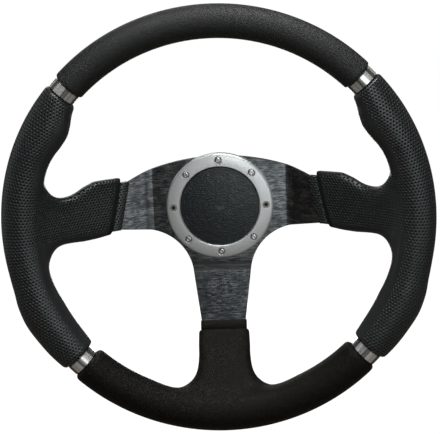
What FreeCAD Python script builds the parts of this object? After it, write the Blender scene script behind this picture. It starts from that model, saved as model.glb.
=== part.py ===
# Boat steering wheel with three spokes, 350 mm across.
# Lengths are in millimetres and angles in degrees. The wheel turns about the Y axis and the driver
# sits on the -Y side. Z is up, with the long spoke pointing down. The origin is the middle of the
# hub's rear face, where the helm shaft enters.

import FreeCAD
import Part
import Sketcher
import math
import os

V = FreeCAD.Vector
doc = FreeCAD.newDocument("SteeringWheel")

# Driving sizes
DRIVING = [
    ("wheel_d", 350.0, "overall diameter over the top grip"),
    ("dish", 66.8, "rim mid-plane ahead of the spoke plate's front face"),
    ("core_d", 18.0, "outer diameter of the rim's tube"),
    ("core_wall", 2.0, "wall of the rim's tube"),
    ("bond_gap", 0.1, "glue line between the tube and what is on it"),
    ("band_d", 23.8, "outer diameter of the metal bands"),
    ("band_len", 8.4, "length of a band along the rim"),
    ("band_up", 43.0, "angle of the upper bands above the horizontal"),
    ("band_low", 44.0, "angle of the lower bands below the horizontal"),
    ("band_gap", 0.15, "angle left between a band and a grip"),
    ("band_edge", 0.5, "chamfer on a band's ends"),
    ("top_grip_d", 27.4, "thickness of the top grip"),
    ("top_edge", 2.2, "rounding of the top grip's ends"),
    ("low_grip_w", 31.4, "radial width of the bottom grip"),
    ("low_grip_depth", 30.4, "front to back depth of the bottom grip"),
    ("low_grip_in", 1.2, "bottom grip's section set in from the tube's middle"),
    ("low_edge", 3.4, "rounding of the bottom grip's ends"),
    ("side_grip_w", 32.5, "radial width of the side grips"),
    ("side_grip_depth", 31.0, "front to back depth of the side grips"),
    ("side_edge", 2.6, "rounding of the side grips' ends"),
    ("side_grip_in", 2.2, "side grips' section set in from the tube's middle"),
    ("thumb_swell", 4.4, "swelling on the inside under the thumb"),
    ("heel_swell", 3.8, "swelling on the outside under the heel of the hand"),
    ("plate_thick", 4.5, "spoke plate's thickness"),
    ("plate_top", 41.5, "plate's upper edge above the axis"),
    ("plate_top_bend", 175.0, "radius of the plate's upper edge"),
    ("flat_half", 59.0, "side bends' distance from the axis"),
    ("flat_low", 53.0, "lower bend's distance below the axis"),
    ("bend_in", 8.0, "inside radius of the plate's bends"),
    ("wing_out", 84.0, "where a side spoke enters its boot"),
    ("wing_out_low", 14.8, "side spoke's lower edge there, below the axis"),
    ("wing_root_low", 24.4, "side spoke's lower edge at the corner, below the axis"),
    ("corner_out", 29.0, "corner of side and lower spokes, from the mid-plane"),
    ("corner_r", 42.0, "fillet in the corner between two spokes"),
    ("leg_half", 18.3, "half width of the lower spoke where its boot begins"),
    ("tip_half", 12.0, "half width of a spoke's hidden end"),
    ("weld_gap", 0.05, "gap between a spoke's end and the tube"),
    ("boot_at", 33.0, "side boot's lip along the spoke from its bend"),
    ("boot_slant", 14.0, "slant of a side boot's lip"),
    ("boot_lip_h", 47.4, "height of a side boot at its lip"),
    ("boot_neck_h", 40.4, "height of a side boot at its neck"),
    ("boot_lip_up", 5.2, "middle of a side boot's lip above the axis"),
    ("boot_flare", 48.0, "growth of a side boot's height as it meets the rim"),
    ("boot_lip_t", 11.0, "thickness of a boot at its lip"),
    ("boot_root_t", 23.6, "thickness of a boot in the rim"),
    ("lip_edge", 1.5, "rounding of a boot's lip"),
    ("cuff_len", 8.2, "length of the thin cuff ahead of a boot"),
    ("cuff_up", 25.0, "side cuff's upper edge above the axis"),
    ("cuff_down", 16.0, "side cuff's lower edge below the axis"),
    ("cuff_proud", 0.9, "cuff's thickness over the plate"),
    ("leg_boot_at", 57.0, "lower boot's lip along the spoke from its bend"),
    ("leg_boot_lip_w", 42.0, "width of the lower boot at its lip"),
    ("leg_boot_flare", 42.0, "growth of the lower boot's width as it meets the rim"),
    ("ring_d", 89.6, "trim ring's outer diameter"),
    ("ring_w", 11.1, "trim ring's radial width"),
    ("ring_high", 6.8, "trim ring's height over the plate"),
    ("ring_crown", 1.4, "fall of the ring's face from its bore to its outer edge"),
    ("ring_round", 2.4, "rounding of the ring's outer edge"),
    ("ring_bevel", 0.5, "bevel at the ring's bore"),
    ("ledge_w", 3.2, "radial width of the ledge that carries the cap"),
    ("ledge_high", 2.6, "height of that ledge"),
    ("screw_inset", 6.0, "ring screws' middle from the ring's outer edge"),
    ("screw_count", 8, "screws in the ring, two of them flush"),
    ("screw_d", 3.0, "ring screws' shank"),
    ("screw_play", 0.2, "clearance hole over the shank"),
    ("screw_head_d", 5.7, "domed head's diameter"),
    ("screw_head_h", 1.65, "domed head's height"),
    ("screw_socket", 2.0, "hexagon socket across flats"),
    ("screw_sink_d", 7.0, "recess for a domed head"),
    ("screw_sink", 2.2, "depth of that recess"),
    ("flush_head_d", 6.0, "flush screw's head"),
    ("flush_low", 0.7, "flush heads under the ring's highest level"),
    ("flush_socket", 2.8, "flush screw's socket across flats"),
    ("screw_dome", 1.2, "rounding of a domed head"),
    ("socket_deep", 1.1, "depth of the screws' sockets"),
    ("screw_in", 5.0, "screws' reach into the hub's flange"),
    ("cap_gap", 0.5, "gap round the cap"),
    ("cap_edge_high", 2.9, "cap's edge over the ledge"),
    ("cap_dome", 1.9, "cap's rise from its edge to its middle"),
    ("cap_round", 0.9, "rounding of the cap's edge"),
    ("cap_wall", 2.0, "cap's wall"),
    ("cap_skirt", 2.2, "depth of the cap's skirt under the ledge's top"),
    ("cap_fit", 0.15, "skirt's clearance in the ledge"),
    ("boss_len", 32.0, "hub boss from its rear face to the plate"),
    ("boss_d", 44.0, "hub boss behind its flange"),
    ("flange_inset", 1.8, "hub flange's edge inside the trim ring's"),
    ("flange_thick", 6.0, "hub flange's thickness"),
    ("boss_fillet", 4.0, "fillet between boss and flange"),
    ("boss_bevel", 1.0, "bevel on the boss's rear edge"),
    ("spigot_d", 36.0, "spigot that centres the plate"),
    ("spigot_fit", 0.1, "spigot's clearance in the plate"),
    ("shaft_d", 19.05, "shaft taper's large diameter"),
    ("taper_rate", 12.0, "length of taper in which the diameter falls by one"),
    ("key_w", 4.76, "keyway's width"),
    ("key_deep", 2.4, "keyway's depth beyond the bore"),
    ("nut_d", 28.0, "recess for the shaft nut"),
    ("nut_deep", 13.0, "depth of that recess"),
    ("bolt_circle", 50.0, "diameter of the hub bolts' circle"),
    ("bolt_count", 6, "bolts between plate and hub"),
    ("bolt_d", 5.0, "hub bolts' shank"),
    ("bolt_head_d", 9.6, "hub bolts' countersunk head"),
    ("bolt_socket", 3.0, "hub bolts' socket across flats"),
    ("bolt_socket_deep", 1.9, "depth of the hub bolts' sockets"),
    ("bolt_len", 10.0, "hub bolts' length"),
    ("thread_play", 0.05, "play drawn between a thread and its hole, on the radius"),
]

# Places that follow from the sizes
DERIVED = [
    ("zero", "0"),
    ("rim_r", "(Sizes.wheel_d - Sizes.top_grip_d) / 2"),
    ("plate_rear", "-Sizes.boss_len"),
    ("plate_front", "-Sizes.boss_len - Sizes.plate_thick"),
    ("plate_mid", "-Sizes.boss_len - Sizes.plate_thick / 2"),
    ("rim_y", "plate_front - Sizes.dish"),
    ("rise", "Sizes.dish + Sizes.plate_thick / 2"),
    ("core_r", "Sizes.core_d / 2"),
    ("core_in_r", "Sizes.core_d / 2 - Sizes.core_wall"),
    ("seat_r", "Sizes.core_d / 2 + Sizes.weld_gap"),
    ("bore_r", "Sizes.core_d / 2 + Sizes.bond_gap"),
    ("band_r", "Sizes.band_d / 2"),
    ("band_turn", "Sizes.band_len / rim_r * 180 / pi"),
    ("top_grip_r", "Sizes.top_grip_d / 2"),
    ("top_turn", "180 - 2 * Sizes.band_up - band_turn - 2 * Sizes.band_gap"),
    ("side_high", "Sizes.band_up - band_turn / 2 - Sizes.band_gap"),
    ("side_low", "-Sizes.band_low + band_turn / 2 + Sizes.band_gap"),
    ("low_start", "-180 + Sizes.band_low + band_turn / 2 + Sizes.band_gap"),
    ("low_end", "-Sizes.band_low - band_turn / 2 - Sizes.band_gap"),
    # side spokes, bent forward to the rim
    ("side_run", "rim_r - Sizes.flat_half"),
    ("side_slope", "atan(rise / side_run) / 1 deg"),
    ("side_len", "sqrt(rise * rise + side_run * side_run)"),
    ("side_mitre", "Sizes.plate_thick / 2 * tan(side_slope / 2)"),
    ("wing_front_bend", "Sizes.flat_half - side_mitre"),
    ("wing_rear_bend", "Sizes.flat_half + side_mitre"),
    ("wing_front_tip", "rim_r - Sizes.plate_thick / 2 * sin(side_slope)"),
    ("wing_rear_tip", "rim_r + Sizes.plate_thick / 2 * sin(side_slope)"),
    ("wing_front_tip_y", "rim_y - Sizes.plate_thick / 2 * cos(side_slope)"),
    ("wing_rear_tip_y", "rim_y + Sizes.plate_thick / 2 * cos(side_slope)"),
    ("wing_out_top", "Sizes.plate_top - Sizes.plate_top_bend"
     " + sqrt(Sizes.plate_top_bend ^ 2 - Sizes.wing_out ^ 2)"),
    # lower spoke
    ("leg_run", "rim_r - Sizes.flat_low"),
    ("leg_slope", "atan(rise / leg_run) / 1 deg"),
    ("leg_len", "sqrt(rise * rise + leg_run * leg_run)"),
    ("leg_mitre", "Sizes.plate_thick / 2 * tan(leg_slope / 2)"),
    ("leg_front_bend", "Sizes.flat_low - leg_mitre"),
    ("leg_rear_bend", "Sizes.flat_low + leg_mitre"),
    ("leg_front_tip", "rim_r - Sizes.plate_thick / 2 * sin(leg_slope)"),
    ("leg_rear_tip", "rim_r + Sizes.plate_thick / 2 * sin(leg_slope)"),
    ("leg_front_tip_y", "rim_y - Sizes.plate_thick / 2 * cos(leg_slope)"),
    ("leg_rear_tip_y", "rim_y + Sizes.plate_thick / 2 * cos(leg_slope)"),
    ("leg_top", "Sizes.flat_low - Sizes.bend_in"),
    ("leg_cuff_z", "Sizes.flat_low + (Sizes.leg_boot_at - Sizes.cuff_len) * cos(leg_slope)"),
    # sheets that the plate's outline is cut from
    ("wing_blank", "leg_top + Sizes.plate_top + Sizes.bend_in"),
    ("leg_blank", "2 * (Sizes.corner_out + Sizes.corner_r)"),
    ("plan_deep", "2 * (Sizes.boss_len + 2 * rise)"),
    # turned parts round the hub
    ("ring_r", "Sizes.ring_d / 2"),
    ("ring_bore_r", "ring_r - Sizes.ring_w"),
    ("ring_edge_high", "Sizes.ring_high - Sizes.ring_crown"),
    ("ring_crown_r", "(Sizes.ring_w ^ 2 + Sizes.ring_crown ^ 2) / (2 * Sizes.ring_crown)"),
    ("ledge_r", "ring_bore_r - Sizes.ledge_w"),
    ("screw_circle_r", "ring_r - Sizes.screw_inset"),
    ("screw_shank_r", "Sizes.screw_d / 2"),
    ("screw_hole_r", "Sizes.screw_d / 2 + Sizes.screw_play / 2"),
    ("screw_thread_r", "Sizes.screw_d / 2 + Sizes.thread_play"),
    ("screw_head_r", "Sizes.screw_head_d / 2"),
    ("screw_sink_r", "Sizes.screw_sink_d / 2"),
    ("screw_floor", "Sizes.ring_high - Sizes.screw_sink"),
    ("screw_len", "screw_floor + Sizes.plate_thick + Sizes.screw_in"),
    ("flush_r", "Sizes.flush_head_d / 2"),
    ("flush_sink_r", "Sizes.flush_head_d / 2 + Sizes.screw_play / 2"),
    ("flush_deep", "flush_r - screw_shank_r"),
    ("flush_sink_deep", "flush_sink_r - screw_hole_r"),
    ("screw_seat", "plate_front - screw_floor"),
    ("flush_seat", "plate_front - Sizes.ring_high + Sizes.flush_low"),
    ("flush_sink_at", "flush_seat + flush_sink_deep"),
    ("flush_len", "Sizes.ring_high - Sizes.flush_low + Sizes.plate_thick + Sizes.screw_in"),
    ("cap_r", "ring_bore_r - Sizes.cap_gap"),
    ("cap_edge", "Sizes.ledge_high + Sizes.cap_edge_high"),
    ("cap_top", "cap_edge + Sizes.cap_dome"),
    ("cap_dome_r", "(cap_r ^ 2 + Sizes.cap_dome ^ 2) / (2 * Sizes.cap_dome)"),
    ("cap_ceiling", "cap_edge - Sizes.cap_wall"),
    ("skirt_r", "ledge_r - Sizes.cap_fit"),
    ("skirt_in_r", "skirt_r - Sizes.cap_wall"),
    ("skirt_low", "Sizes.ledge_high - Sizes.cap_skirt"),
    ("boss_r", "Sizes.boss_d / 2"),
    ("flange_r", "ring_r - Sizes.flange_inset"),
    ("flange_low", "Sizes.boss_len - Sizes.flange_thick"),
    ("boss_front", "Sizes.boss_len + Sizes.plate_thick"),
    ("spigot_r", "Sizes.spigot_d / 2"),
    ("spigot_hole_r", "Sizes.spigot_d / 2 + Sizes.spigot_fit"),
    ("nut_r", "Sizes.nut_d / 2"),
    ("nut_floor", "boss_front - Sizes.nut_deep"),
    ("shaft_r", "Sizes.shaft_d / 2"),
    ("shaft_small_r", "Sizes.shaft_d / 2 - nut_floor / (2 * Sizes.taper_rate)"),
    ("key_half", "Sizes.key_w / 2"),
    ("key_top", "shaft_r + Sizes.key_deep"),
    ("bolt_circle_r", "Sizes.bolt_circle / 2"),
    ("bolt_r", "Sizes.bolt_d / 2"),
    ("bolt_hole_r", "Sizes.bolt_d / 2 + Sizes.thread_play"),
    ("bolt_head_r", "Sizes.bolt_head_d / 2"),
    ("bolt_sink_r", "Sizes.bolt_head_d / 2 + Sizes.thread_play"),
    ("bolt_head_deep", "bolt_head_r - bolt_r"),
    ("bolt_sink_top", "bolt_circle_r + bolt_sink_r"),
    ("bolt_sink_floor", "plate_front + bolt_sink_r"),
    ("bend_out", "Sizes.bend_in + Sizes.plate_thick"),
    # side boots, measured along the sloping spoke from its bend
    ("lip_lean", "tan(Sizes.boot_slant)"),
    ("boot_start", "Sizes.boot_at - Sizes.boot_lip_h * lip_lean / 2 - Sizes.lip_edge"),
    ("trim_reach", "1.5 * Sizes.boot_lip_h"),
    ("trim_high", "Sizes.boot_at - (trim_reach - Sizes.boot_lip_up) * lip_lean"),
    ("trim_low", "Sizes.boot_at + (trim_reach + Sizes.boot_lip_up) * lip_lean"),
    ("cuff_thick", "Sizes.plate_thick + 2 * Sizes.cuff_proud"),
    ("cuff_high_in", "Sizes.boot_at - (Sizes.cuff_up - Sizes.boot_lip_up) * lip_lean - Sizes.cuff_len"),
    ("cuff_low_in", "Sizes.boot_at + (Sizes.cuff_down + Sizes.boot_lip_up) * lip_lean - Sizes.cuff_len"),
    ("cuff_high_out", "cuff_high_in + 2 * Sizes.cuff_len"),
    ("cuff_low_out", "cuff_low_in + 2 * Sizes.cuff_len"),
    ("leg_cuff_half", "Sizes.leg_half + Sizes.cuff_proud"),
    ("leg_cuff_in", "Sizes.leg_boot_at - Sizes.cuff_len"),
    ("leg_cuff_out", "Sizes.leg_boot_at + Sizes.cuff_len"),
]


def fill(sheet_name, rows):
    """Write cells with aliases; a row is (alias, contents, note)."""
    sheet = doc.addObject("Spreadsheet::Sheet", sheet_name)
    for line, (alias, contents, note) in enumerate(rows, 1):
        sheet.set("A%d" % line, note)
        sheet.set("B%d" % line, contents)
        sheet.setAlias("B%d" % line, alias)
    return sheet


sizes = fill("Sizes", [(alias, str(value), note) for alias, value, note in DRIVING])
places = fill("Places", [(alias, "=" + formula, alias.replace("_", " ")) for alias, formula in DERIVED])
doc.recompute()
DRIVING_NAMES = {alias for alias, value, note in DRIVING}
ALL_NAMES = DRIVING_NAMES | {alias for alias, formula in DERIVED}


def cell(alias):
    """The expression that reads a cell; a leading minus mirrors it."""
    name = alias.lstrip("-")
    sign = "-" if alias.startswith("-") else ""
    return "%s%s.%s" % (sign, "Sizes" if name in DRIVING_NAMES else "Places", name)


def number(alias):
    """The present value of a cell."""
    name = alias.lstrip("-")
    value = float(getattr(sizes if name in DRIVING_NAMES else places, name))
    return -value if alias.startswith("-") else value


# Sketches

def new_body(name):
    return doc.addObject("PartDesign::Body", name)


def origin_item(body, role):
    return [item for item in body.Origin.OriginFeatures if item.Role == role][0]


def new_sketch(body, name, role):
    sketch = body.newObject("Sketcher::SketchObject", name)
    sketch.AttachmentSupport = [(origin_item(body, role), "")]
    sketch.MapMode = "FlatFace"
    return sketch


def bind(sketch, kind, where, alias):
    """Add a constraint and read its value from a cell."""
    index = sketch.addConstraint(Sketcher.Constraint(kind, *where, number(alias)))
    sketch.setExpression("Constraints[%d]" % index, cell(alias))


def pin(sketch, geometry, end, across, up):
    """Place a point of the sketch by its two distances from the origin."""
    bind(sketch, "DistanceX", (-1, 1, geometry, end), across)
    bind(sketch, "DistanceY", (-1, 1, geometry, end), up)


def arc_between(start, end, radius):
    """The shorter arc of that radius that turns left from start to end."""
    chord = end - start
    left = V(-chord.y, chord.x, 0).normalize()
    middle = (start + end) / 2 + left * math.sqrt(radius ** 2 - (chord.Length / 2) ** 2)
    first = math.atan2(start.y - middle.y, start.x - middle.x)
    last = math.atan2(end.y - middle.y, end.x - middle.x)
    return Part.ArcOfCircle(Part.Circle(middle, V(0, 0, 1), radius), first, last)


def outline(body, name, role, points, arcs=()):
    """A closed outline through points named by cells, counter-clockwise where it has arcs.

    arcs maps the number of a side to the cell of its radius.
    """
    arcs = dict(arcs)
    sketch = new_sketch(body, name, role)
    spots = [V(number(across), number(up), 0) for across, up in points]
    count = len(points)
    for side in range(count):
        start = spots[side]
        end = spots[(side + 1) % count]
        if side in arcs:
            sketch.addGeometry(arc_between(start, end, number(arcs[side])), False)
        else:
            sketch.addGeometry(Part.LineSegment(start, end), False)
    for side in range(count):
        sketch.addConstraint(Sketcher.Constraint("Coincident", side, 2, (side + 1) % count, 1))
    for side, (across, up) in enumerate(points):
        pin(sketch, side, 1, across, up)
    for side, radius in arcs.items():
        bind(sketch, "Radius", (side,), radius)
    return sketch


def circles(body, name, role, across, up, radii):
    """Circles about one middle."""
    sketch = new_sketch(body, name, role)
    for index, radius in enumerate(radii):
        middle = V(number(across), number(up), 0)
        sketch.addGeometry(Part.Circle(middle, V(0, 0, 1), number(radius)), False)
        pin(sketch, index, 3, across, up)
        bind(sketch, "Radius", (index,), radius)
    return sketch


def hexagon(body, name, role, flats):
    """A hexagonal socket about the origin, across flats."""
    sketch = new_sketch(body, name, role)
    corner = number(flats) / math.sqrt(3)
    spots = [V(corner * math.cos(math.radians(60 * i)), corner * math.sin(math.radians(60 * i)), 0)
             for i in range(6)]
    for i in range(6):
        sketch.addGeometry(Part.LineSegment(spots[i], spots[(i + 1) % 6]), False)
    circle = sketch.addGeometry(Part.Circle(V(), V(0, 0, 1), corner), True)
    for i in range(6):
        sketch.addConstraint(Sketcher.Constraint("Coincident", i, 2, (i + 1) % 6, 1))
        sketch.addConstraint(Sketcher.Constraint("PointOnObject", i, 1, circle))
    for i in range(5):
        sketch.addConstraint(Sketcher.Constraint("Equal", i, i + 1))
    sketch.addConstraint(Sketcher.Constraint("Coincident", circle, 3, -1, 1))
    sketch.addConstraint(Sketcher.Constraint("PointOnObject", 0, 1, -1))
    index = sketch.addConstraint(Sketcher.Constraint("Distance", 4, 1, 1, number(flats)))
    sketch.setExpression("Constraints[%d]" % index, cell(flats))
    return sketch


# Features

CLOSE = 0.01


def near(value, wanted):
    return abs(value - wanted) < CLOSE


def feature(body, kind, name, **links):
    """A feature at the end of a body; a text value that names a cell is bound to it."""
    item = body.newObject("PartDesign::" + kind, name)
    for key, value in links.items():
        if isinstance(value, str) and value in ALL_NAMES:
            item.setExpression(key, cell(value))
        else:
            setattr(item, key, value)
    return item


def revolve(body, name, sketch, axis, angle=360.0, midplane=False):
    """Turn a sketch about its own H_Axis or V_Axis."""
    return feature(body, "Revolution", name, Profile=sketch, ReferenceAxis=(sketch, [axis]),
                   Angle=angle, Midplane=midplane)


def edges_where(shape, test):
    return ["Edge%d" % (index + 1) for index, edge in enumerate(shape.Edges)
            if not edge.Degenerated and test(edge)]


def dress(body, kind, name, size, test):
    """Fillet or chamfer the edges of the body's last feature that pass the test."""
    doc.recompute()
    base = body.Tip
    names = edges_where(base.Shape, test)
    key = "Radius" if kind == "Fillet" else "Size"
    return feature(body, kind, name, Base=(base, names), **{key: size})


def ring_edge(radius, level):
    """A test for round edges about the local Z axis with that radius at that level."""
    def test(edge):
        if not isinstance(edge.Curve, Part.Circle):
            return False
        middle = edge.Curve.Center
        centred = math.hypot(middle.x, middle.y) < CLOSE
        return centred and near(edge.Curve.Radius, number(radius)) and near(middle.z, number(level))
    return test


def tube_end(radius):
    """A test for the round ends of a stretch of tube along the rim."""
    def test(edge):
        if not isinstance(edge.Curve, Part.Circle):
            return False
        return near(edge.Curve.Radius, number(radius)) and near(edge.Curve.Axis.y, 0)
    return test


def polar(body, name, original, axis_role, count):
    pattern = body.newObject("PartDesign::PolarPattern", name)
    pattern.Originals = [original]
    pattern.Axis = (origin_item(body, axis_role), [""])
    pattern.Angle = 360
    pattern.setExpression("Occurrences", cell(count))
    body.Tip = pattern


def turn_about(item, axis, angle):
    """Turn an item about a fixed axis through an angle given by an expression."""
    item.Placement.Rotation = FreeCAD.Rotation(V(*axis), 45)
    for letter, part in zip("xyz", axis):
        item.setExpression("Placement.Rotation.Axis." + letter, "%d" % part)
    item.setExpression("Placement.Rotation.Angle", angle)


def face_driver(item, level):
    """Stand a part turned about its local Z axis on the wheel's axis, facing the driver."""
    item.Placement = FreeCAD.Placement(V(), FreeCAD.Rotation(V(1, 0, 0), 90))
    item.setExpression("Placement.Base.y", cell(level))


def cut(name, base, tool):
    item = doc.addObject("Part::Cut", name)
    item.Base = base
    item.Tool = tool
    item.Refine = True
    return item


def fuse(name, shapes):
    item = doc.addObject("Part::MultiFuse", name)
    item.Shapes = shapes
    item.Refine = True
    return item


def tube_ring(name, radius):
    """A torus along the rim's middle line."""
    ring = doc.addObject("Part::Torus", name)
    ring.setExpression("Radius1", "Places.rim_r")
    ring.setExpression("Radius2", cell(radius))
    ring.Placement = FreeCAD.Placement(V(), FreeCAD.Rotation(V(1, 0, 0), 90))
    ring.setExpression("Placement.Base.y", "Places.rim_y")
    return ring


parts = {}


# Rim core: a bent and welded tube

rim_core = cut("rim_core", tube_ring("core_outside", "core_r"), tube_ring("core_inside", "core_in_r"))
rim_core.Refine = False
parts["rim_core"] = rim_core


# Spoke plate: one sheet, cut to outline and bent forward along three lines

wings = new_body("wing_strip")
wing_profile = outline(wings, "wing_profile", "XY_Plane", [
    ("-wing_rear_tip", "wing_rear_tip_y"),
    ("-wing_front_tip", "wing_front_tip_y"),
    ("-wing_front_bend", "plate_front"),
    ("wing_front_bend", "plate_front"),
    ("wing_front_tip", "wing_front_tip_y"),
    ("wing_rear_tip", "wing_rear_tip_y"),
    ("wing_rear_bend", "plate_rear"),
    ("-wing_rear_bend", "plate_rear"),
])
wing_profile.setExpression("AttachmentOffset.Base.z", "-Places.leg_top")
feature(wings, "Pad", "wing_pad", Profile=wing_profile, Length="wing_blank")


def wing_edge(across, depth):
    """A test for the upright edges of the two side bends."""
    def test(edge):
        middle = edge.BoundBox.Center
        upright = edge.BoundBox.ZLength > CLOSE
        return upright and near(abs(middle.x), number(across)) and near(middle.y, number(depth))
    return test


dress(wings, "Fillet", "wing_bend_inside", "bend_in", wing_edge("wing_front_bend", "plate_front"))
dress(wings, "Fillet", "wing_bend_outside", "bend_out", wing_edge("wing_rear_bend", "plate_rear"))

leg = new_body("leg_strip")
leg_profile = outline(leg, "leg_profile", "YZ_Plane", [
    ("plate_front", "-leg_top"),
    ("plate_front", "-leg_front_bend"),
    ("leg_front_tip_y", "-leg_front_tip"),
    ("leg_rear_tip_y", "-leg_rear_tip"),
    ("plate_rear", "-leg_rear_bend"),
    ("plate_rear", "-leg_top"),
])
feature(leg, "Pad", "leg_pad", Profile=leg_profile, Length="leg_blank", Midplane=True)


def leg_edge(down, depth):
    """A test for the level edge of the lower bend."""
    def test(edge):
        middle = edge.BoundBox.Center
        level = edge.BoundBox.XLength > CLOSE
        return level and near(middle.z, -number(down)) and near(middle.y, number(depth))
    return test


dress(leg, "Fillet", "leg_bend_inside", "bend_in", leg_edge("leg_front_bend", "plate_front"))
dress(leg, "Fillet", "leg_bend_outside", "bend_out", leg_edge("leg_rear_bend", "plate_rear"))

plan = new_body("plate_plan")
plan_outline = outline(plan, "plan_outline", "XZ_Plane", [
    ("wing_out", "wing_out_top"),
    ("-wing_out", "wing_out_top"),
    ("-rim_r", "tip_half"),
    ("-rim_r", "-tip_half"),
    ("-wing_out", "-wing_out_low"),
    ("-corner_out", "-wing_root_low"),
    ("-leg_half", "-leg_cuff_z"),
    ("-tip_half", "-rim_r"),
    ("tip_half", "-rim_r"),
    ("leg_half", "-leg_cuff_z"),
    ("corner_out", "-wing_root_low"),
    ("wing_out", "-wing_out_low"),
    ("rim_r", "-tip_half"),
    ("rim_r", "tip_half"),
], {0: "plate_top_bend"})
feature(plan, "Pad", "plan_pad", Profile=plan_outline, Length="plan_deep", Midplane=True)


def corner_edge(edge):
    middle = edge.BoundBox.Center
    return near(abs(middle.x), number("corner_out")) and near(middle.z, -number("wing_root_low"))


dress(plan, "Fillet", "corner_fillet", "corner_r", corner_edge)

blank = doc.addObject("Part::Common", "bent_blank")
blank.Base = fuse("strips", [wings, leg])
blank.Tool = plan
blank.Refine = True

plate = new_body("spoke_plate")
plate.BaseFeature = cut("plate_seated", blank, tube_ring("plate_seat", "seat_r"))
for name, across, up, radius, count in [
        ("spigot_hole", "zero", "zero", "spigot_hole_r", None),
        ("screw_holes", "zero", "screw_circle_r", "screw_hole_r", "screw_count"),
        ("bolt_holes", "zero", "bolt_circle_r", "bolt_hole_r", "bolt_count")]:
    sketch = circles(plate, name + "_sketch", "XZ_Plane", across, up, [radius])
    pocket = feature(plate, "Pocket", name, Profile=sketch, Type="ThroughAll", Midplane=True)
    if count:
        polar(plate, name + "_pattern", pocket, "Y_Axis", count)
sink_profile = outline(plate, "sink_profile", "YZ_Plane", [
    ("plate_front", "bolt_circle_r"),
    ("plate_front", "bolt_sink_top"),
    ("bolt_sink_floor", "bolt_circle_r"),
])
sinks = feature(plate, "Groove", "bolt_sink", Profile=sink_profile, Angle=360.0,
                ReferenceAxis=(sink_profile, ["Edge3"]))
polar(plate, "bolt_sink_pattern", sinks, "Y_Axis", "bolt_count")
parts["spoke_plate"] = plate


# Grips round the rim: sections between two angles, drawn through by one smooth skin

def rim_skin(name, start, end, width, depth, inset, stations):
    """Loft elliptical sections along the rim.

    A station is (share of the way from start to end, outward swelling, inward swelling, depth),
    with the swellings as shares of heel_swell and thumb_swell and the depth as a share.
    """
    sections = []
    for index, (share, heel, thumb, deep) in enumerate(stations):
        section = doc.addObject("Part::Ellipse", "%s_section_%d" % (name, index))
        angle = "(%s + %g * (%s - %s))" % (cell(start), share, cell(end), cell(start))
        outward = "%g * Sizes.heel_swell" % heel
        inward = "%g * Sizes.thumb_swell" % thumb
        middle = "(Places.rim_r - %s + (%s - %s) / 2)" % (cell(inset), outward, inward)
        section.setExpression("MajorRadius", "(%s + %s + %s) / 2" % (cell(width), outward, inward))
        section.setExpression("MinorRadius", "%g * %s / 2" % (deep, cell(depth)))
        section.setExpression("Placement.Base.x", "%s * cos(%s)" % (middle, angle))
        section.setExpression("Placement.Base.y", "Places.rim_y")
        section.setExpression("Placement.Base.z", "%s * sin(%s)" % (middle, angle))
        turn_about(section, (0, 1, 0), "-" + angle)
        sections.append(section)
    skin = doc.addObject("Part::Loft", name)
    skin.Sections = sections
    skin.Solid = True
    return skin


def end_edges(shape):
    """The rims of the two flat ends of a skin."""
    flat = [face for face in shape.Faces if isinstance(face.Surface, Part.Plane)]
    hashes = {edge.hashCode() for face in flat for edge in face.OuterWire.Edges}
    return [index + 1 for index, edge in enumerate(shape.Edges) if edge.hashCode() in hashes]


def rounded_ends(name, skin, radius):
    doc.recompute()
    item = doc.addObject("Part::Fillet", name)
    item.Base = skin
    item.Edges = [(index, number(radius), number(radius)) for index in end_edges(skin.Shape)]
    return item


SIDE_STATIONS = [
    (0.00, 0.25, 0.0, 1.0),
    (0.05, 0.50, 0.0, 1.0),
    (0.11, 0.80, 0.0, 1.0),
    (0.18, 1.00, 0.0, 1.0),
    (0.25, 0.65, 0.0, 1.0),
    (0.33, 0.15, 0.0, 1.0),
    (0.43, 0.00, 0.0, 1.0),
    (0.56, 0.00, 0.0, 1.0),
    (0.68, 0.00, 0.0, 1.0),
    (0.76, 0.00, 0.28, 1.0),
    (0.82, 0.00, 0.78, 1.0),
    (0.87, 0.00, 1.0, 0.99),
    (0.91, 0.00, 0.75, 0.97),
    (0.955, 0.00, -0.20, 0.93),
    (1.00, -0.10, -1.05, 0.86),
]
LOW_STATIONS = [(share / 6, 0.0, 0.0, 1.0) for share in range(7)]

top = new_body("top_grip")
top_profile = circles(top, "top_profile", "YZ_Plane", "rim_y", "rim_r", ["top_grip_r", "bore_r"])
revolve(top, "top_turn_feature", top_profile, "H_Axis", "top_turn", midplane=True)


dress(top, "Fillet", "top_ends", "top_edge", tube_end("top_grip_r"))
parts["top_grip"] = top


# Boots: the side grips and the bottom grip run on down the spokes

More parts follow.
